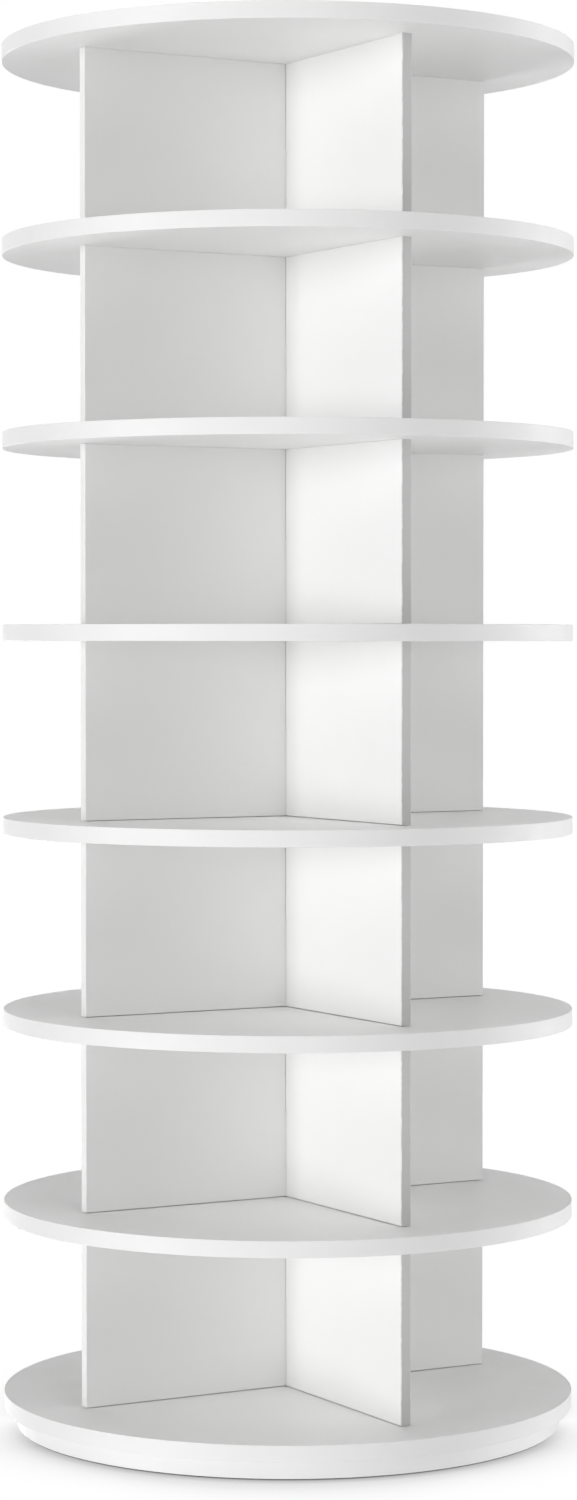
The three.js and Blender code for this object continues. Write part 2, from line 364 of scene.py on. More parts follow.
def makeDustGroup():
    # A thin film of dust on what faces up, thickest in soft drifts
    group, given, result = newGroup("dustFilm", ("Amount", "Drift Scale"), maskOutput)
    facing = group.nodes.new("ShaderNodeNewGeometry")
    split = group.nodes.new("ShaderNodeSeparateXYZ")
    group.links.new(facing.outputs["Normal"], split.inputs[0])
    upward = addRange(group, split.outputs["Z"], *dustForm["upwardRange"], 0, 1)
    point = addPoint(group)
    drift = addNoise(group, given["Drift Scale"], dustForm["driftDetail"], point)
    drift = addRange(group, drift, *dustForm["driftRange"], dustForm["thinDrift"], 1)
    fleck = addNoise(group, dustForm["fleckScale"], dustForm["fleckDetail"], point)
    fleck = addRange(group, fleck, *dustForm["fleckRange"], dustForm["thinFleck"], 1)
    mask = addMath(group, "MULTIPLY", addMath(group, "MULTIPLY", upward, drift), fleck)
    mask = addMath(group, "MULTIPLY", mask, given["Amount"], clamp=True)
    group.links.new(mask, result["Mask"])
    return group


def makeTurnedGroup():
    # Lathe marks round the turning axis of a metal ring, with a dull bloom over them
    inputs = ("Tone", "Bloom Tone", "Mark Scale", "Dull", "Shiny")
    group, given, result = newGroup("turnedMetal", inputs, skinOutputs)
    point = addPoint(group)
    split = group.nodes.new("ShaderNodeSeparateXYZ")
    group.links.new(point, split.inputs[0])
    across = addMath(group, "MULTIPLY", split.outputs["X"], split.outputs["X"])
    along = addMath(group, "MULTIPLY", split.outputs["Y"], split.outputs["Y"])
    radius = addMath(group, "SQRT", addMath(group, "ADD", across, along), 0)
    ringPoint = group.nodes.new("ShaderNodeCombineXYZ")
    group.links.new(radius, ringPoint.inputs["X"])
    group.links.new(split.outputs["Z"], ringPoint.inputs["Y"])
    mark = addNoise(group, given["Mark Scale"], turnedForm["markDetail"], ringPoint.outputs[0])
    bloom = addNoise(group, turnedForm["bloomScale"], turnedForm["bloomDetail"], point)
    bloom = addRange(group, bloom, *turnedForm["bloomRange"], 0, 1)
    tone = addMix(group, bloom, given["Tone"], given["Bloom Tone"])
    sheen = addRange(group, mark, *turnedForm["markRange"], given["Shiny"], given["Dull"])
    group.links.new(tone, result["Color"])
    group.links.new(sheen, result["Roughness"])
    group.links.new(mark, result["Height"])
    return group


pearlSkin = makePearlGroup()
edgeWearAndHighlight = makeWearAndHighlightGroup()
dustFilm = makeDustGroup()
turnedMetal = makeTurnedGroup()
print("shader groups ready")


# Finishes

def useGroup(tree, group, values):
    node = tree.nodes.new("ShaderNodeGroup")
    node.node_tree = group
    for label, value in values.items():
        node.inputs[label].default_value = value
    return node


dustRoughness = 0.9


def finishMaterial(name, skin, skinValues, look):
    # One skin group, then rubbed edges (on the edge bands a painted highlight) and dust over it, then
    # the surface shader
    material = bpy.data.materials.new(name)
    material.use_nodes = True
    tree = material.node_tree
    shader = tree.nodes["Principled BSDF"]
    base = useGroup(tree, skin, skinValues)
    wearAndHighlight = useGroup(tree, edgeWearAndHighlight, {"Amount": look["wearAndHighlight"], "Patch Scale": look["wearAndHighlightScale"]})
    dust = useGroup(tree, dustFilm, {"Amount": look["dust"], "Drift Scale": look["driftScale"]})
    wornAndHighlit = wearAndHighlight.outputs["Mask"]
    dusty = dust.outputs["Mask"]
    # The edge tone: rubbing on most finishes, a painted highlight on the edge bands
    tone = addMix(tree, wornAndHighlit, base.outputs["Color"], look["wearAndHighlightTone"])
    tone = addMix(tree, dusty, tone, look["dustTone"])
    rough = addRange(tree, wornAndHighlit, 0, 1, base.outputs["Roughness"], look["wornRoughness"])
    rough = addRange(tree, dusty, 0, 1, rough, dustRoughness)
    bump = tree.nodes.new("ShaderNodeBump")
    bump.inputs["Strength"].default_value = look["relief"]
    bump.inputs["Distance"].default_value = look["reliefDepth"]
    shader.inputs["Metallic"].default_value = look["metal"]
    tree.links.new(tone, shader.inputs["Base Color"])
    tree.links.new(rough, shader.inputs["Roughness"])
    tree.links.new(base.outputs["Height"], bump.inputs["Height"])
    tree.links.new(bump.outputs["Normal"], shader.inputs["Normal"])
    return material


laminateSkin = {
    "Tone": (0.935, 0.935, 0.932, 1), "Cloud Tone": (0.922, 0.922, 0.918, 1),
    "Cloud Scale": 5, "Pearl Scale": 950, "Dull": 0.52, "Shiny": 0.4,
}
laminateLook = {
    "wearAndHighlight": 0.35, "wearAndHighlightScale": 70, "wearAndHighlightTone": (0.74, 0.735, 0.72, 1), "wornRoughness": 0.6,
    "dust": 0.12, "driftScale": 8, "dustTone": (0.72, 0.71, 0.69, 1),
    "relief": 0.25, "reliefDepth": 0.0002, "metal": 0,
}

bandSkin = {
    "Tone": (0.885, 0.885, 0.883, 1), "Cloud Tone": (0.87, 0.87, 0.867, 1),
    "Cloud Scale": 14, "Pearl Scale": 1300, "Dull": 0.6, "Shiny": 0.5,
}
# The light tone along the band's rubbed, rounded edges is a painted highlight
bandLook = {
    "wearAndHighlight": 0.9, "wearAndHighlightScale": 90, "wearAndHighlightTone": (0.95, 0.95, 0.945, 1), "wornRoughness": 0.5,
    "dust": 0.08, "driftScale": 12, "dustTone": (0.76, 0.755, 0.74, 1),
    "relief": 0.2, "reliefDepth": 0.0001, "metal": 0,
}

# In the photograph the ends of the dividers that point at the viewer look greyer than their faces
# Its grey is painted shade: a darker copy of the edge band, put on the ends of the boards with the slot
# down
paintedShadeBandSkin = {
    "Tone": (0.61, 0.61, 0.608, 1), "Cloud Tone": (0.595, 0.595, 0.592, 1),
    "Cloud Scale": 14, "Pearl Scale": 1300, "Dull": 0.45, "Shiny": 0.35,
}
# The light tone of its rubbed corners is a painted highlight
paintedShadeBandLook = {
    "wearAndHighlight": 0.9, "wearAndHighlightScale": 90, "wearAndHighlightTone": (0.9, 0.9, 0.895, 1), "wornRoughness": 0.5,
    "dust": 0.08, "driftScale": 12, "dustTone": (0.6, 0.595, 0.58, 1),
    "relief": 0.2, "reliefDepth": 0.0001, "metal": 0,
}

capSkin = {
    "Tone": (0.82, 0.815, 0.805, 1), "Cloud Tone": (0.79, 0.785, 0.77, 1),
    "Cloud Scale": 120, "Pearl Scale": 2600, "Dull": 0.46, "Shiny": 0.34,
}
capLook = {
    "wearAndHighlight": 0.5, "wearAndHighlightScale": 400, "wearAndHighlightTone": (0.74, 0.73, 0.71, 1), "wornRoughness": 0.6,
    "dust": 0.15, "driftScale": 60, "dustTone": (0.7, 0.69, 0.67, 1),
    "relief": 0.3, "reliefDepth": 0.00008, "metal": 0,
}

padSkin = {
    "Tone": (0.06, 0.06, 0.063, 1), "Cloud Tone": (0.09, 0.088, 0.085, 1),
    "Cloud Scale": 70, "Pearl Scale": 3200, "Dull": 0.95, "Shiny": 0.75,
}
padLook = {
    "wearAndHighlight": 0.6, "wearAndHighlightScale": 200, "wearAndHighlightTone": (0.16, 0.155, 0.15, 1), "wornRoughness": 0.9,
    "dust": 0.2, "driftScale": 50, "dustTone": (0.3, 0.29, 0.28, 1),
    "relief": 0.7, "reliefDepth": 0.00015, "metal": 0,
}

cageSkin = {
    "Tone": (0.72, 0.70, 0.64, 1), "Cloud Tone": (0.66, 0.63, 0.56, 1),
    "Cloud Scale": 90, "Pearl Scale": 2400, "Dull": 0.6, "Shiny": 0.42,
}
cageLook = {
    "wearAndHighlight": 0.4, "wearAndHighlightScale": 300, "wearAndHighlightTone": (0.5, 0.48, 0.44, 1), "wornRoughness": 0.5,
    "dust": 0.1, "driftScale": 50, "dustTone": (0.4, 0.38, 0.35, 1),
    "relief": 0.4, "reliefDepth": 0.00008, "metal": 0,
}

ringSkin = {
    "Tone": (0.62, 0.63, 0.64, 1), "Bloom Tone": (0.5, 0.51, 0.52, 1),
    "Mark Scale": 2400, "Dull": 0.48, "Shiny": 0.26,
}
ringLook = {
    "wearAndHighlight": 0.5, "wearAndHighlightScale": 200, "wearAndHighlightTone": (0.78, 0.78, 0.78, 1), "wornRoughness": 0.25,
    "dust": 0.12, "driftScale": 30, "dustTone": (0.4, 0.39, 0.37, 1),
    "relief": 0.3, "reliefDepth": 0.00006, "metal": 1,
}

zincSkin = {
    "Tone": (0.66, 0.66, 0.63, 1), "Bloom Tone": (0.52, 0.53, 0.5, 1),
    "Mark Scale": 5200, "Dull": 0.46, "Shiny": 0.24,
}
zincLook = {
    "wearAndHighlight": 0.6, "wearAndHighlightScale": 600, "wearAndHighlightTone": (0.8, 0.8, 0.78, 1), "wornRoughness": 0.22,
    "dust": 0.1, "driftScale": 90, "dustTone": (0.4, 0.39, 0.37, 1),
    "relief": 0.35, "reliefDepth": 0.00005, "metal": 1,
}

ballSkin = {
    "Tone": (0.72, 0.72, 0.73, 1), "Bloom Tone": (0.62, 0.62, 0.64, 1),
    "Mark Scale": 6000, "Dull": 0.16, "Shiny": 0.07,
}
ballLook = {
    "wearAndHighlight": 0.0, "wearAndHighlightScale": 300, "wearAndHighlightTone": (0.8, 0.8, 0.8, 1), "wornRoughness": 0.1,
    "dust": 0.05, "driftScale": 90, "dustTone": (0.3, 0.28, 0.25, 1),
    "relief": 0.1, "reliefDepth": 0.00002, "metal": 1,
}

rawSkin = {
    "Tone": (0.47, 0.36, 0.25, 1), "Cloud Tone": (0.36, 0.26, 0.17, 1),
    "Cloud Scale": 160, "Pearl Scale": 2100, "Dull": 0.95, "Shiny": 0.8,
}
rawLook = {
    "wearAndHighlight": 0.3, "wearAndHighlightScale": 300, "wearAndHighlightTone": (0.28, 0.2, 0.13, 1), "wornRoughness": 0.9,
    "dust": 0.2, "driftScale": 40, "dustTone": (0.6, 0.52, 0.42, 1),
    "relief": 0.6, "reliefDepth": 0.0002, "metal": 0,
}

whiteLaminate = finishMaterial("whiteLaminate", pearlSkin, laminateSkin, laminateLook)
rawBoard = finishMaterial("rawFibreboard", pearlSkin, rawSkin, rawLook)
whiteBand = finishMaterial("whiteEdgeBand", pearlSkin, bandSkin, bandLook)
paintedShadeBand = finishMaterial("paintedShadeEndBand", pearlSkin, paintedShadeBandSkin, paintedShadeBandLook)
whitePlastic = finishMaterial("whiteCapPlastic", pearlSkin, capSkin, capLook)
padRubber = finishMaterial("padRubber", pearlSkin, padSkin, padLook)
cageNylon = finishMaterial("cageNylon", pearlSkin, cageSkin, cageLook)
ringAluminium = finishMaterial("turnedAluminium", turnedMetal, ringSkin, ringLook)
zincSteel = finishMaterial("zincPlatedSteel", turnedMetal, zincSkin, zincLook)
ballSteel = finishMaterial("bearingSteel", turnedMetal, ballSkin, ballLook)
print("finishes ready")


# Mesh tools

def roundCorner(centreRadius, centreHeight, size, start, end, steps):
    # Points of a rounded corner on a turned profile, as (radius, height, edge mark)
    points = []
    for step in range(steps + 1):
        angle = math.radians(start + (end - start) * step / steps)
        radius = centreRadius + size * math.cos(angle)
        height = centreHeight + size * math.sin(angle)
        points.append((radius, height, 1 if step < steps else 0))
    return points


def meshFrom(bm, name):
    mesh = bpy.data.meshes.new(name)
    bm.to_mesh(mesh)
    bm.free()
    return mesh


def bridge(bm, first, second, step, after):
    # One face between two rings of points; where a ring is a single point it is a triangle
    corners = [first[step % len(first)], first[after % len(first)]]
    corners += [second[after % len(second)], second[step % len(second)]]
    return bm.faces.new(list(dict.fromkeys(corners)))


def turnProfile(name, profile, segments):
    # Turns (radius, height, edge mark) points about Z; the mark is for the span that follows
    bm = bmesh.new()
    marks = bm.faces.layers.float.new("edge")
    rings = []
    for radius, height, _ in profile:
        count = segments if radius > 0 else 1
        angles = [2 * math.pi * step / segments for step in range(count)]
        rings.append([
            bm.verts.new((radius * math.cos(a), radius * math.sin(a), height)) for a in angles
        ])
    spans = list(zip(rings, rings[1:], profile))
    if profile[0][0] > 0:
        spans.append((rings[-1], rings[0], profile[-1]))
    for low, high, (_, _, mark) in spans:
        for step in range(segments):
            bridge(bm, low, high, step, (step + 1) % segments)[marks] = mark
    return meshFrom(bm, name)


def outward(mesh):
    # Turns the faces of a closed mesh to look outwards
    bm = bmesh.new()
    bm.from_mesh(mesh)
    bmesh.ops.recalc_face_normals(bm, faces=bm.faces)
    bm.to_mesh(mesh)
    bm.free()
    return mesh


def meshOf(piece):
    # The piece's mesh with its modifiers worked in
    bpy.context.view_layer.update()
    seen = piece.evaluated_get(bpy.context.evaluated_depsgraph_get())
    return bpy.data.meshes.new_from_object(seen)


weldReach = 0.000001    # points nearer than this are one
weldDigits = 6          # and so are those that agree in this many decimals


def cutAway(mesh, tools, wallSlot=0):
    # Cuts closed tool meshes out of a mesh; the cut walls get the material in wallSlot
    for part in [mesh] + tools:
        part.materials.clear()
        for material in (whiteLaminate, rawBoard):
            part.materials.append(material)
    for tool in tools:
        tool.polygons.foreach_set("material_index", [wallSlot] * len(tool.polygons))
    blank = bpy.data.objects.new(mesh.name + "_blank", mesh)
    scene.collection.objects.link(blank)
    cutters = []
    for tool in tools:
        cutter = bpy.data.objects.new(mesh.name + "_cutter", tool)
        scene.collection.objects.link(cutter)
        cutters.append(cutter)
        cut = blank.modifiers.new("cut", "BOOLEAN")
        cut.operation = "DIFFERENCE"
        cut.solver = "EXACT"
        cut.object = cutter
    result = meshOf(blank)
    for helper in cutters + [blank]:
        bpy.data.objects.remove(helper)
    result.name = mesh.name
    bm = bmesh.new()
    bm.from_mesh(result)
    bmesh.ops.remove_doubles(bm, verts=bm.verts, dist=weldReach)
    bmesh.ops.dissolve_degenerate(bm, edges=bm.edges, dist=weldReach)
    bm.to_mesh(result)
    bm.free()
    return result


def moved(mesh, place):
    copy = mesh.copy()
    copy.transform(Matrix.Translation(place))
    return copy


def centreOf(node):
    low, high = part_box(node)
    return (low + high) / 2


def aboveCentre(node):
    # The sideways move that takes a mesh made about the Z axis to the node
    centre = centreOf(node)
    return Matrix.Translation((centre.x, centre.y, 0))


smoothUpTo = 35      # degrees between faces; anything sharper stays a crisp edge
flatsWeight = 100    # the most there is: large faces decide how the edges beside them shade


def showPiece(name, mesh, materials, body, replaced=()):
    places = [face.material_index for face in mesh.polygons]
    mesh.materials.clear()
    for material in materials:
        mesh.materials.append(material)
    mesh.polygons.foreach_set("material_index", places)
    mesh.polygons.foreach_set("use_smooth", [True] * len(mesh.polygons))
    mesh.set_sharp_from_angle(angle=math.radians(smoothUpTo))
    mesh.name = name
    piece = bpy.data.objects.new(name, mesh)
    scene.collection.objects.link(piece)
    flats = piece.modifiers.new("flats", "WEIGHTED_NORMAL")
    flats.mode = "FACE_AREA"
    flats.weight = flatsWeight
    flats.keep_sharp = True
    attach(piece, body)
    if replaced:
        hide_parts(*replaced)


# Round boards: a disc of laminated board and the band glued round its edge

roundBoard = {
    "bandThickness": 0.0010,
    "bandCorner": 0.0006,
    "seamCut": 0.00012,      # the scraped corner where foil and band meet
    "glueGap": 0.00002,
    "cornerSteps": 5,
    "segments": 256,
    "faceRingShares": (0.25, 0.5, 0.75, 0.92, 0.985),
    "jointTurn": 52,         # degrees from +X to where the lowest band's ends meet
    "jointStep": 7,          # and how much further round on each board above
    "jointWidth": 0.00014,
    "jointDepth": 0.0004,
}


def boardCore(name, radius, low, high):
    core = radius - roundBoard["bandThickness"] - roundBoard["glueGap"]
    cut = roundBoard["seamCut"]
    rings = [core * share for share in roundBoard["faceRingShares"]]
    profile = [(0, low, 0)]
    profile += [(ring, low, 0) for ring in rings]
    profile += [(core - cut, low, 1), (core, low + cut, 0)]
    profile += [(core, high - cut, 1), (core - cut, high, 0)]
    profile += [(ring, high, 0) for ring in reversed(rings)]
    profile.append((0, high, 0))
    return turnProfile(name, profile, roundBoard["segments"])


def boardBand(name, radius, low, high):
    inner = radius - roundBoard["bandThickness"]
    corner = roundBoard["bandCorner"]
    steps = roundBoard["cornerSteps"]
    cut = roundBoard["seamCut"] / 2
    profile = [(inner, high - cut, 0), (inner, low + cut, 1), (inner + cut, low, 0)]
    profile += roundCorner(radius - corner, low + corner, corner, -90, 0, steps)
    profile += roundCorner(radius - corner, high - corner, corner, 0, 90, steps)
    profile.append((inner + cut, high, 1))
    return turnProfile(name, profile, roundBoard["segments"])


def boxMesh(name, low, high):
    xs, ys, zs = zip(low, high)
    corners = [Vector((x, y, z)) for x in xs for y in ys for z in zs]
    faces = [(0, 1, 3, 2), (4, 6, 7, 5), (0, 4, 5, 1), (2, 3, 7, 6), (0, 2, 6, 4), (1, 5, 7, 3)]
    mesh = bpy.data.meshes.new(name)
    mesh.from_pydata(corners, [], faces)
    return mesh


def withButtJoint(band, radius, low, high, order):
    # The fine upright groove where the two ends of an edge band meet
    half = roundBoard["jointWidth"] / 2
    clear = roundBoard["bandThickness"]
    groove = boxMesh(
        "groove",
        (radius - roundBoard["jointDepth"], -half, low - clear),
        (radius + clear, half, high + clear),
    )
    turn = math.radians(roundBoard["jointTurn"] + roundBoard["jointStep"] * order)
    groove.transform(Matrix.Rotation(turn, 4, "Z"))
    return cutAway(band, [groove])


def drillTool(name, radius, low, high, sides):
    profile = [(0, low, 0), (radius, low, 0), (radius, high, 0), (0, high, 0)]
    return turnProfile(name, profile, sides)


# Screws, in metres: the same sizes as the solids that they stand for

screwSizes = {
    "shelfScrew": {"length": 0.045, "shank": 0.0020, "head": 0.0040, "tip": 0.006, "pitch": 0.0018},
    "ringScrew": {"length": 0.018, "shank": 0.00175, "head": 0.0035, "tip": 0.004, "pitch": 0.0015},
    "ringBolt": {"length": 0.015, "shank": 0.0020, "head": 0.0040, "tip": 0.0008, "pitch": 0.0007},
}
screwForm = {
    "rim": 0.0004,
    "corner": 0.0001,
    "faceRingShare": 0.6,
    "wornSpans": (2, 3),          # the head's corner and rim, counted from the middle of its face
    "threadDepthShare": 0.28,
    "turnSteps": 24,
    "rowsPerTurn": 6,
    "recessSpanShare": 0.54,
    "recessWidthShare": 0.13,
    "recessDepthShare": 0.5,
    "recessOverrun": 0.2,         # how far the cutter stands out of the head, of the recess's depth
    "recessFootLength": 0.45,     # the foot of the recess, of its size at the top
    "recessFootWidth": 0.7,
    "seatGap": 0.0003,
    "clearAbove": 0.004,
    "holeSegments": 48,
}


def headDepthOf(size):
    return screwForm["rim"] + size["head"] - size["shank"]


def threadedRow(size, height, angle):
    # Radius of the threaded shank at a height below the head and an angle round it
    depth = size["shank"] * screwForm["threadDepthShare"]
    plainEnd = headDepthOf(size) + size["pitch"]
    fadeIn = min(1, max(0, (height - plainEnd) / size["pitch"]))
    toTip = size["length"] - height
    taper = min(1, toTip / size["tip"])
    wave = (height / size["pitch"] - angle / (2 * math.pi)) % 1
    ridge = 1 - abs(2 * wave - 1)
    return taper * (size["shank"] - depth * (1 - ridge) * fadeIn)


def screwMesh(name, size):
    steps = screwForm["turnSteps"]
    headDepth = headDepthOf(size)
    rowStep = size["pitch"] / screwForm["rowsPerTurn"]
    rowCount = int((size["length"] - headDepth) / rowStep)
    bm = bmesh.new()
    marks = bm.faces.layers.float.new("edge")
    rows = [[bm.verts.new((0, 0, 0))]]
    angles = [2 * math.pi * step / steps for step in range(steps)]

    def addRow(height, radiusAt):
        rows.append([
            bm.verts.new((radiusAt(a) * math.cos(a), radiusAt(a) * math.sin(a), -height))
            for a in angles
        ])

    corner = screwForm["corner"]
    addRow(0, lambda a: size["head"] * screwForm["faceRingShare"])
    addRow(0, lambda a: size["head"] - corner)
    addRow(corner, lambda a: size["head"])
    addRow(screwForm["rim"], lambda a: size["head"])
    for row in range(rowCount):
        height = headDepth + row * rowStep
        addRow(height, lambda a: threadedRow(size, height, a))
    rows.append([bm.verts.new((0, 0, -size["length"]))])
    for number, (upper, lower) in enumerate(zip(rows, rows[1:])):
        wornAndHighlit = 1 if number in screwForm["wornSpans"] else 0
        for step in range(steps):
            bridge(bm, upper, lower, (step + 1) % steps, step)[marks] = wornAndHighlit
    bmesh.ops.recalc_face_normals(bm, faces=bm.faces)
    return cutAway(meshFrom(bm, name), [recessTool(name, size, turn) for turn in (0, 90)])


def recessTool(name, size, turn):
    # One slot of the cross recess, narrower at its foot
    half = size["head"] * screwForm["recessSpanShare"]
    wide = size["head"] * screwForm["recessWidthShare"]
    deep = size["head"] * screwForm["recessDepthShare"]
    bm = bmesh.new()
    over = screwForm["recessOverrun"]
    footLong = screwForm["recessFootLength"]
    footWide = screwForm["recessFootWidth"]
    top = []
    foot = []
    for x, y in ((-1, -1), (1, -1), (1, 1), (-1, 1)):
        top.append(bm.verts.new((x * half, y * wide, deep * over)))
        foot.append(bm.verts.new((x * half * footLong, y * wide * footWide, -deep)))
    bm.faces.new(top)
    bm.faces.new(list(reversed(foot)))
    for step in range(4):
        after = (step + 1) % 4
        bm.faces.new([foot[step], foot[after], top[after], top[step]])
    bmesh.ops.rotate(bm, verts=bm.verts, matrix=Matrix.Rotation(math.radians(turn), 3, "Z"))
    return meshFrom(bm, name + "_recess")


def screwHoleTool(name, size, headUp, pit=None):
    # The countersunk hole round such a screw; pit is the radius and floor of a wider hole over it
    gap = screwForm["seatGap"]
    head = size["head"] + gap
    shank = size["shank"] + gap
    rim = screwForm["rim"]
    clear = screwForm["clearAbove"]
    profile = [
        (0, -size["length"] - gap, 0), (shank, -size["length"] - gap, 0),
        (shank, shank - head - rim, 0), (head, -rim, 0),
    ]
    if pit:
        wide, base = pit
        profile += [(head, base, 0), (wide, base, 0), (wide, base + clear, 0), (0, base + clear, 0)]
    else:
        profile += [(head, clear, 0), (0, clear, 0)]
    mesh = turnProfile(name, profile, screwForm["holeSegments"])
    if not headUp:
        mesh.transform(Matrix.Rotation(math.pi, 4, "X"))
    return mesh


def headPlace(node, headUp):
    low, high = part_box(node)
    return Vector(((low.x + high.x) / 2, (low.y + high.y) / 2, high.z if headUp else low.z))


def holeBelow(kind, node):
    # The hole for a screw that goes in from beneath
    return moved(screwHoleTool("hole", screwSizes[kind], False), headPlace(node, False))


def holesBelow(kind, prefix):
    return [holeBelow(kind, node) for node in numbered(prefix, screwCount)]


def showScrews(kind, prefix, headUp, body):
    mesh = screwMesh(kind, screwSizes[kind])
    if not headUp:
        mesh.transform(Matrix.Rotation(math.pi, 4, "X"))
    for node in numbered(prefix, screwCount):
        copy = moved(mesh, headPlace(node, headUp))
        showPiece(f"{node}_threaded", copy, [zincSteel], body, [node])


showScrews("shelfScrew", "top_disc_screw", True, "tower")
showScrews("shelfScrew", "bottom_disc_screw", False, "tower")
showScrews("ringScrew", "upper_ring_screw", False, "tower")
showScrews("ringBolt", "lower_ring_bolt", False, "base")
print("screws made")


def discHoles(node):
    # What is sunk into this disc: caps and screws on top, screws below
    tools = []
    if node == "top_disc":
        for number in range(1, screwCount + 1):
            place = headPlace(f"top_disc_screw_{number}", True)
            capLow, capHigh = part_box(f"top_disc_screw_cap_{number}")
            pit = ((capHigh.x - capLow.x) / 2 + screwForm["seatGap"] / 2, capLow.z - place.z)
            tools.append(moved(screwHoleTool("hole", screwSizes["shelfScrew"], True, pit), place))
    if node == "bottom_disc":
        for number in range(1, screwCount + 1):
            tools.append(holeBelow("shelfScrew", f"bottom_disc_screw_{number}"))
            tools.append(holeBelow("ringScrew", f"upper_ring_screw_{number}"))
    return tools


def showDisc(node):
    low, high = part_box(node)
    core = boardCore(node, discRadius, low.z, high.z)
    tools = discHoles(node)
    if tools:
        core = cutAway(core, tools, wallSlot=1)
    showPiece(f"{node}_board", core, [whiteLaminate, rawBoard], "tower", [node])
    band = boardBand(node, discRadius, low.z, high.z)
    band = withButtJoint(band, discRadius, low.z, high.z, discNames.index(node) + 1)
    showPiece(f"{node}_edge_band", band, [whiteBand], "tower")


for discName in discNames:
    showDisc(discName)
print("discs made")


# Divider boards, halved into each other, with a band on both ends

dividerBoard = {
    "bandThickness": 0.0010,
    "bandCorner": 0.0006,
    "restGap": 0.0006,      # the fine dark joint under each board
    "cutCorner": 0.0005,    # the long edges, as they come from the saw
    "seamCut": 0.00012,
    "glueGap": 0.00002,
    "slotGap": 0.0003,
    "steps": 4,
    "broadFacing": 0.5,     # a face whose normal has less of Y than this is a narrow one
    "cornerFrom": 30,       # degrees between faces from which an edge is rounded
}


def softenEdges(mesh, width, weightOf, sawnSlot=0):
    # Rounds each edge by its own share of the width, and marks the new faces as edge;
    # what is left of the narrow faces gets the material in sawnSlot
    weights = mesh.attributes.new("bevel_weight_edge", "FLOAT", "EDGE")
    for edge in mesh.edges:
        first, second = (mesh.vertices[v].co for v in edge.vertices)
        weights.data[edge.index].value = weightOf(first, second)
    # Two materials, only to tell new faces from old; showPiece sets the real ones
    mesh.materials.append(whiteLaminate)
    mesh.materials.append(paintedShadeBand)
    blank = bpy.data.objects.new(mesh.name, mesh)
    scene.collection.objects.link(blank)
    rounding = blank.modifiers.new("rounding", "BEVEL")
    rounding.limit_method = "WEIGHT"
    rounding.width = width
    rounding.segments = dividerBoard["steps"]
    rounding.material = 1
    result = meshOf(blank)
    bpy.data.objects.remove(blank)
    marks = result.attributes.new("edge", "FLOAT", "FACE")
    for face in result.polygons:
        marks.data[face.index].value = face.material_index
        narrow = abs(face.normal.y) < dividerBoard["broadFacing"]
        sawn = face.material_index == 0 and narrow
        face.material_index = sawnSlot if sawn else 0
    return result


def plateFromCells(name, xs, zs, empty, thickness):
    # An upright plate made of cells, one of which may be left out for a slot
    bm = bmesh.new()
    points = {}
    for side in (-1, 1):
        for column, x in enumerate(xs):
            for row, z in enumerate(zs):
                points[side, column, row] = bm.verts.new((x, side * thickness / 2, z))
    columns, rows = len(xs) - 1, len(zs) - 1
    cells = {(c, r) for c in range(columns) for r in range(rows)} - {empty}
    for column, row in cells:
        loop = [(column, row), (column + 1, row), (column + 1, row + 1), (column, row + 1)]
        bm.faces.new([points[(-1, *corner)] for corner in loop])
        bm.faces.new([points[(1, *corner)] for corner in reversed(loop)])
        beside = [(column, row - 1), (column + 1, row), (column, row + 1), (column - 1, row)]
        for step, neighbour in enumerate(beside):
            if neighbour in cells:
                continue
            start, end = loop[step], loop[(step + 1) % 4]
            corners = [(-1, *end), (-1, *start), (1, *start), (1, *end)]
            bm.faces.new([points[corner] for corner in corners])
    bmesh.ops.delete(bm, geom=[v for v in bm.verts if not v.link_faces], context="VERTS")
    bmesh.ops.recalc_face_normals(bm, faces=bm.faces)
    return meshFrom(bm, name)


def pointKey(point):
    return tuple(round(n, weldDigits) for n in point)


def cornerTest(mesh):
    # A test whether two points are the ends of an edge where faces meet at an angle
    bm = bmesh.new()
    bm.from_mesh(mesh)
    sharp = set()
    for edge in bm.edges:
        if edge.calc_face_angle(0) > math.radians(dividerBoard["cornerFrom"]):
            sharp.add(frozenset(pointKey(v.co) for v in edge.verts))
    bm.free()
    return lambda first, second: frozenset((pointKey(first), pointKey(second))) in sharp


def dividerCore(name, slotUp, low, high):
    reach = boardHalf - dividerBoard["bandThickness"] - dividerBoard["glueGap"]
    slot = boardThickness / 2 + dividerBoard["slotGap"]
    lap = dividerBoard["slotGap"] / 2 * (-1 if slotUp else 1)
    xs = [-reach, -slot, slot, reach]
    zs = [low, (low + high) / 2 + lap, high]
    mesh = plateFromCells(name, xs, zs, (1, 1) if slotUp else (1, 0), boardThickness)
    corner = cornerTest(mesh)

    def weight(first, second):
        atEnd = min(abs(first.x), abs(second.x)) > reach - weldReach
        if not corner(first, second):
            return 0
        return dividerBoard["seamCut"] / dividerBoard["cutCorner"] if atEnd else 1

    return softenEdges(mesh, dividerBoard["cutCorner"], weight, sawnSlot=1)


def dividerBand(name, side, low, high):
    inner = boardHalf - dividerBoard["bandThickness"]
    xs = sorted((side * inner, side * boardHalf))
    mesh = plateFromCells(name, xs, [low, high], None, boardThickness)
    outerX = side * boardHalf

    def weight(first, second):
        upright = abs(first.z - second.z) > weldReach
        outside = max(abs(first.x - outerX), abs(second.x - outerX)) < weldReach
        if upright and outside:
            return 1
        if abs(first.x - second.x) < weldReach and not outside:
            return dividerBoard["seamCut"] / 2 / dividerBoard["bandCorner"]
        return dividerBoard["cutCorner"] / 2 / dividerBoard["bandCorner"]

    return softenEdges(mesh, dividerBoard["bandCorner"], weight)


def joined(name, meshes):
    bm = bmesh.new()
    for mesh in meshes:
        bm.from_mesh(mesh)
    return meshFrom(bm, name)


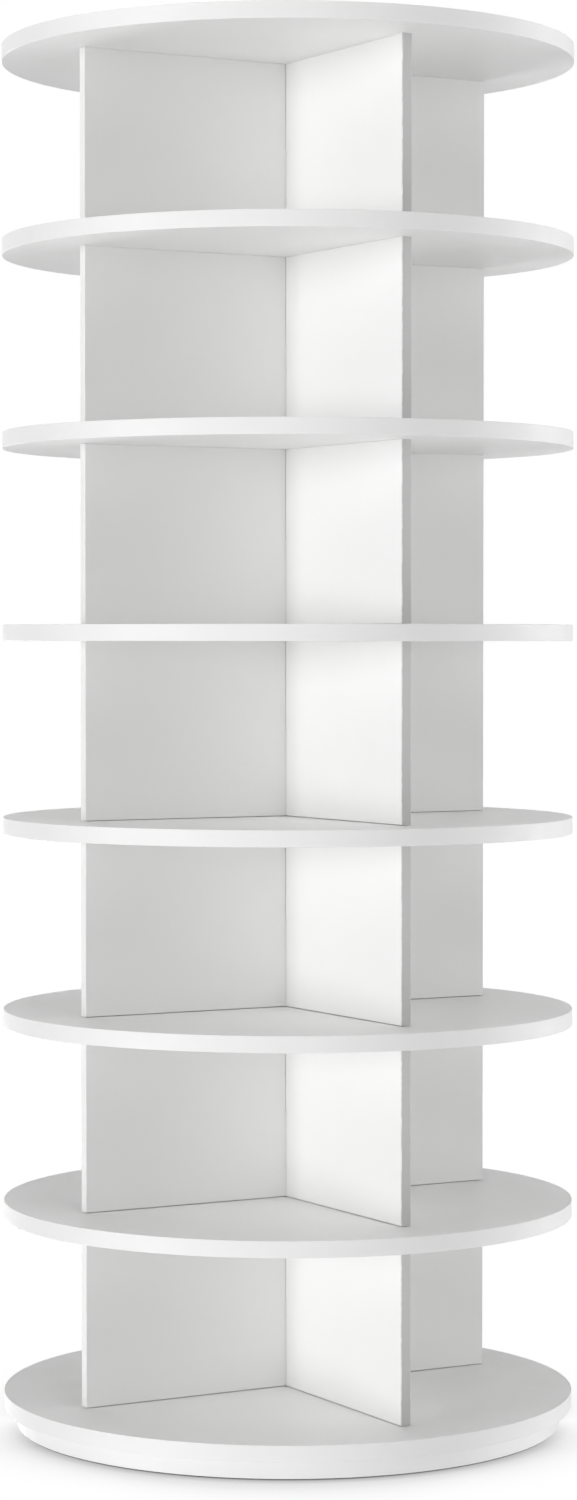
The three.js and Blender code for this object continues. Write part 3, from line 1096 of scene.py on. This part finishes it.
def showDivider(tier, slotUp):
    node = f"tier_{tier}_divider_slot_{'up' if slotUp else 'down'}"
    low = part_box(discNames[tier - 1])[1].z + dividerBoard["restGap"]
    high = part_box(discNames[tier])[0].z
    core = dividerCore(node, slotUp, low, high)
    bands = joined(node, [dividerBand(node, side, low, high) for side in (-1, 1)])
    if not slotUp:
        quarter = Matrix.Rotation(math.pi / 2, 4, "Z")
        core.transform(quarter)
        bands.transform(quarter)
    showPiece(f"{node}_board", core, [whiteLaminate, rawBoard], "tower", [node])
    # The ends of the boards with the slot down get the greyer band, painted shade; those with the slot
    # up get the laminate, lighter than the edge band, painted light
    band = whiteLaminate if slotUp else paintedShadeBand
    showPiece(f"{node}_end_bands", bands, [band], "tower")


for tierNumber in range(1, tierCount + 1):
    showDivider(tierNumber, True)
    showDivider(tierNumber, False)
print("dividers made")


# Plinth, with the pocket for the bearing ring and the holes beneath

plinth = {
    "pocketGap": 0.002,
    "pocketSegments": 192,
    "accessRadius": 0.006,
    "accessSegments": 48,
    "overrun": 0.001,       # how far a cutter stands out of the board
}


def showPlinth():
    low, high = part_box("plinth_board")
    radius = high.x
    over = plinth["overrun"]
    ringLow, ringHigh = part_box("turntable_lower_ring")
    pocketRadius = ringHigh.x + plinth["pocketGap"]
    pocket = drillTool("pocket", pocketRadius, ringLow.z, high.z + over, plinth["pocketSegments"])
    tools = [pocket] + holesBelow("ringBolt", "lower_ring_bolt")
    reach = centreOf("upper_ring_screw_1")
    access = drillTool("access", plinth["accessRadius"], low.z - over, high.z, plinth["accessSegments"])
    tools.append(moved(access, Vector((reach.x, reach.y, 0))))
    core = cutAway(boardCore("plinth", radius, low.z, high.z), tools, wallSlot=1)
    showPiece("plinth_board_pocketed", core, [whiteLaminate, rawBoard], "base",
              ["plinth_board"])
    band = boardBand("plinth", radius, low.z, high.z)
    band = withButtJoint(band, radius, low.z, high.z, 0)
    showPiece("plinth_edge_band", band, [whiteBand], "base")


showPlinth()
print("plinth made")


# Foot pads, with a rounded rim and moulded rings underneath

footPad = {
    "corner": 0.0007,
    "cornerSteps": 4,
    "segments": 64,
    "grooveShares": (0.3, 0.5, 0.7),
    "grooveWidth": 0.0012,
    "grooveDepth": 0.0004,
}


def showFootPads():
    low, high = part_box("foot_pad_1")
    radius = (high.x - low.x) / 2
    corner = footPad["corner"]
    profile = [(0, 0, 0)]
    for share in footPad["grooveShares"]:
        start = radius * share
        end = start + footPad["grooveWidth"]
        depth = footPad["grooveDepth"]
        profile += [(start, 0, 0), (start, depth, 0), (end, depth, 0), (end, 0, 0)]
    profile += roundCorner(radius - corner, corner, corner, -90, 0, footPad["cornerSteps"])
    profile += [(radius, high.z, 0), (0, high.z, 0)]
    for node in numbered("foot_pad", padCount):
        mesh = turnProfile(node, profile, footPad["segments"])
        mesh.transform(aboveCentre(node))
        showPiece(f"{node}_moulded", mesh, [padRubber], "base", [node])


showFootPads()
print("foot pads made")


# Cover caps on the top disc, faintly domed

coverCap = {
    "corner": 0.0004,
    "cornerSteps": 4,
    "segments": 48,
    "dome": 0.00015,
    "domeReach": 0.6,     # a ring of points at this share of the radius
    "domeFall": 0.3,      # lies this share of the dome below its top
}


def showCaps():
    low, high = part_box("top_disc_screw_cap_1")
    radius = (high.x - low.x) / 2
    corner = coverCap["corner"]
    dome = coverCap["dome"]
    shoulder = high.z - dome
    profile = [(0, low.z, 0), (radius, low.z, 0)]
    profile += roundCorner(radius - corner, shoulder - corner, corner, 0, 90, coverCap["cornerSteps"])
    profile.append((radius * coverCap["domeReach"], high.z - dome * coverCap["domeFall"], 0))
    profile.append((0, high.z, 0))
    for node in numbered("top_disc_screw_cap", screwCount):
        mesh = turnProfile(node, profile, coverCap["segments"])
        mesh.transform(aboveCentre(node))
        showPiece(f"{node}_domed", mesh, [whitePlastic], "tower", [node])


showCaps()
print("caps made")


# Bearing: two grooved rings and the cage of balls between them

bearing = {
    "segments": 256,
    "raceGap": 0.0024,
    "ballRadius": 0.0025,
    "runGap": 0.0003,
    "corner": 0.0003,
    "cageThickness": 0.0012,
    "cageHeight": 0.003,
    "ballCount": 16,
    "ballSteps": (28, 18),
}


def grooveProfile(wall, far, apex, low, high, centre):
    # Section of a ring whose wall faces the balls; far is its other wall, on either side
    rise = abs(apex - wall)
    corner = bearing["corner"] * (1 if far > wall else -1)
    chamfer = bearing["corner"]
    return [
        (wall + corner, low, 0), (far - corner, low, 1), (far, low + chamfer, 0),
        (far, high - chamfer, 1), (far - corner, high, 0), (wall + corner, high, 1),
        (wall, high - chamfer, 0), (wall, centre + rise, 1), (apex, centre, 1),
        (wall, centre - rise, 0), (wall, low + chamfer, 1),
    ]


def centreRadius():
    # The ball circle lies a ball's radius inside the cage's reach
    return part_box("turntable_ball_cage")[1].x - bearing["ballRadius"]


def showRings():
    pitch = centreRadius()
    reach = (bearing["ballRadius"] + bearing["runGap"]) * math.sqrt(2)
    half = bearing["raceGap"] / 2
    centre = centreOf("turntable_ball_cage").z
    lowerLow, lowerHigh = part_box("turntable_lower_ring")
    upperLow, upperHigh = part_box("turntable_upper_ring")
    land = lowerHigh.x - pitch - reach
    section = grooveProfile(
        pitch + half, lowerHigh.x, pitch + reach, lowerLow.z, lowerHigh.z, centre)
    lower = outward(turnProfile("lower", section, bearing["segments"]))
    section = grooveProfile(
        pitch - half, pitch - reach - land, pitch - reach, upperLow.z, upperHigh.z, centre)
    upper = outward(turnProfile("upper", section, bearing["segments"]))
    lower = cutAway(lower, holesBelow("ringBolt", "lower_ring_bolt"))
    upper = cutAway(upper, holesBelow("ringScrew", "upper_ring_screw"))
    showPiece("turntable_lower_ring_turned", lower, [ringAluminium], "base",
              ["turntable_lower_ring"])
    showPiece("turntable_upper_ring_turned", upper, [ringAluminium], "tower",
              ["turntable_upper_ring"])


def showCage():
    pitch = centreRadius()
    centre = centreOf("turntable_ball_cage").z
    half = bearing["cageThickness"] / 2
    rise = bearing["cageHeight"] / 2
    ring = outward(turnProfile("cage", [
        (pitch - half, centre - rise, 0), (pitch + half, centre - rise, 0),
        (pitch + half, centre + rise, 0), (pitch - half, centre + rise, 0),
    ], bearing["segments"]))
    around, upright = bearing["ballSteps"]
    bm = bmesh.new()
    bm.from_mesh(ring)
    for number in range(bearing["ballCount"]):
        angle = 2 * math.pi * number / bearing["ballCount"]
        place = Matrix.Translation((pitch * math.cos(angle), pitch * math.sin(angle), centre))
        first = len(bm.faces)
        bmesh.ops.create_uvsphere(
            bm, u_segments=around, v_segments=upright, radius=bearing["ballRadius"], matrix=place)
        bm.faces.ensure_lookup_table()
        for face in bm.faces[first:]:
            face.material_index = 1
    mesh = meshFrom(bm, "cage")
    showPiece("turntable_ball_cage_filled", mesh, [cageNylon, ballSteel], "ball_cage",
              ["turntable_ball_cage"])


showRings()
showCage()
print("bearing made")
